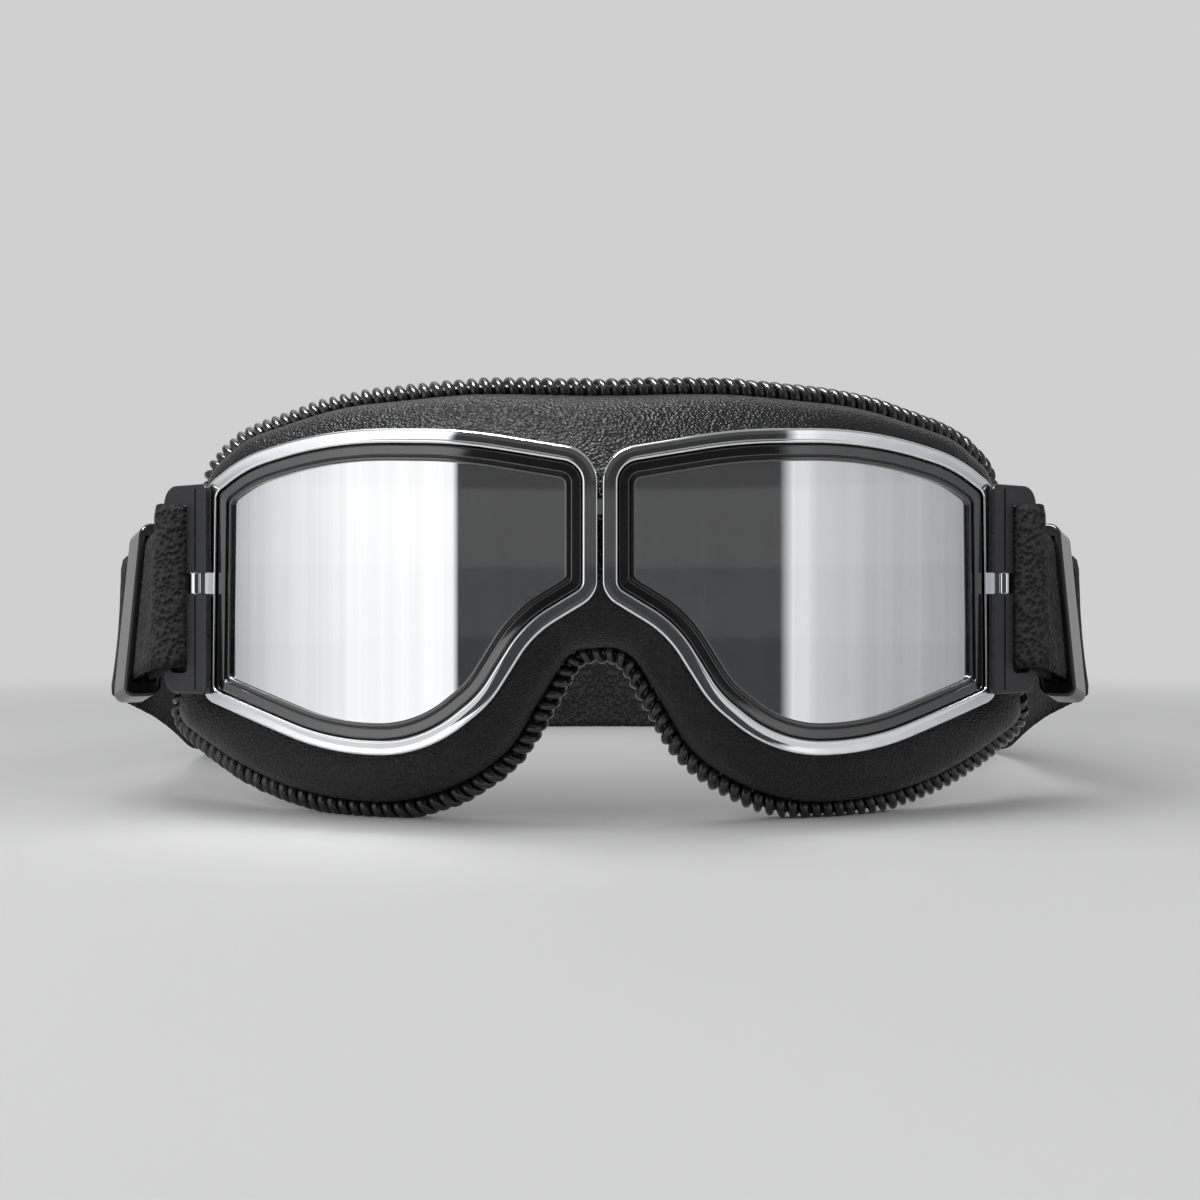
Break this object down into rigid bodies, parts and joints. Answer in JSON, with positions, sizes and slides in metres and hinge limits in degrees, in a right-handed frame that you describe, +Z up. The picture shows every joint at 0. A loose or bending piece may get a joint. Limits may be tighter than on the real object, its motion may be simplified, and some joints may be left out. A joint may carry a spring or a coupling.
{
  "type": "aviator goggles",
  "caption": "Aviator flying goggles with curved mirror lenses in chrome rims, a padded leather mask with a laced edge, hinged slotted ear brackets and an elastic strap with sliders",
  "frame": {"origin": "on the resting plane, in the middle of the overall width and depth", "axes": "+Z up, +Y from the nose back to the head, +X toward the side that is on the right when seen from the front"},
  "size_m": [0.2502, 0.2681, 0.095],
  "materials": {
    "chrome": "polished",
    "mirror_lens": "smoke mirror coating",
    "gasket": "satin",
    "back_frame": "matte",
    "bridge_metal": "satin",
    "leather": "fine grain, soft sheen",
    "foam": "open-cell foam",
    "lining": "matte fleece",
    "lacing": "whip-stitched lace",
    "bracket": "black, worn at the edges",
    "strap": "crepe elastic",
    "slider": "gloss"
  },
  "bodies": {
    "front": {"right_rim": "chrome", "left_rim": "chrome", "right_lens": "mirror_lens", "left_lens": "mirror_lens", "right_lens_gasket": "gasket", "left_lens_gasket": "gasket", "right_back_frame": "back_frame", "left_back_frame": "back_frame", "face_pad_skin": "leather", "face_pad_foam": "foam", "face_pad_lining": "lining", "edge_lacing": "lacing", "bridge_spacer": "chrome", "bridge_strip": "bridge_metal", "bridge_rivets": "bridge_metal", "right_hinge_knuckle": "chrome", "left_hinge_knuckle": "chrome", "right_hinge_pin": "chrome", "left_hinge_pin": "chrome", "right_strap_half": "strap", "left_strap_half": "strap"},
    "right_ear": {"right_ear_bracket": "bracket", "right_strap_end": "strap"},
    "left_ear": {"left_ear_bracket": "bracket", "left_strap_end": "strap"},
    "right_slider": {"right_strap_slider": "slider"},
    "left_slider": {"left_strap_slider": "slider"}
  },
  "joints": [
    {"name": "right_ear_hinge", "type": "hinge", "parent": "front", "child": "right_ear", "pos_m": [0.08965, -0.09792, 0.0511], "axis": [0, 0, 1], "range_deg": [0, 4], "deforming": ["right_strap_half"]},
    {"name": "right_slider_slide", "type": "slide", "parent": "right_ear", "child": "right_slider", "axis": [0.5175, 0.8282, -0.2153], "range_m": [-0.005, 0.005]},
    {"name": "left_ear_hinge", "type": "hinge", "parent": "front", "child": "left_ear", "pos_m": [-0.08965, -0.09792, 0.0511], "axis": [0, 0, -1], "range_deg": [0, 4], "deforming": ["left_strap_half"]},
    {"name": "left_slider_slide", "type": "slide", "parent": "left_ear", "child": "left_slider", "axis": [-0.5175, 0.8282, -0.2153], "range_m": [-0.005, 0.005]}
  ]
}
